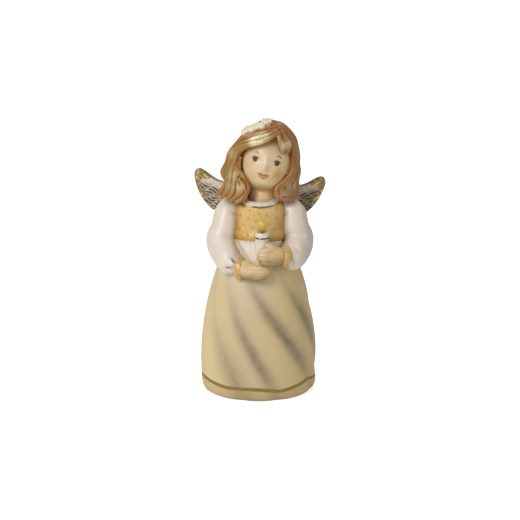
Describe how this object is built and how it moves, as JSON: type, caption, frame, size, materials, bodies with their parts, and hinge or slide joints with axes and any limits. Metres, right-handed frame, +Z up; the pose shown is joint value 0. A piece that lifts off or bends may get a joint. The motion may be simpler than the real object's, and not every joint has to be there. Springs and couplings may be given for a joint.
{
  "type": "angel figurine with candle",
  "caption": "Small glazed ceramic girl angel in a long folded skirt, holding a modelled candle with a flame, hollow with a flat foot.",
  "frame": {"origin": "centre of the foot, on the surface the figurine stands on", "axes": "+Z up, the face and the candle look along -Y, +X is to the right of someone facing the figurine"},
  "size_m": [0.0489, 0.0419, 0.1012],
  "materials": {
    "glazed_ceramic": "satin glaze in beige, cream, white, ochre and caramel, with gold accents"
  },
  "bodies": {
    "root": {"angel_figurine": "glazed_ceramic"}
  },
  "joints": []
}
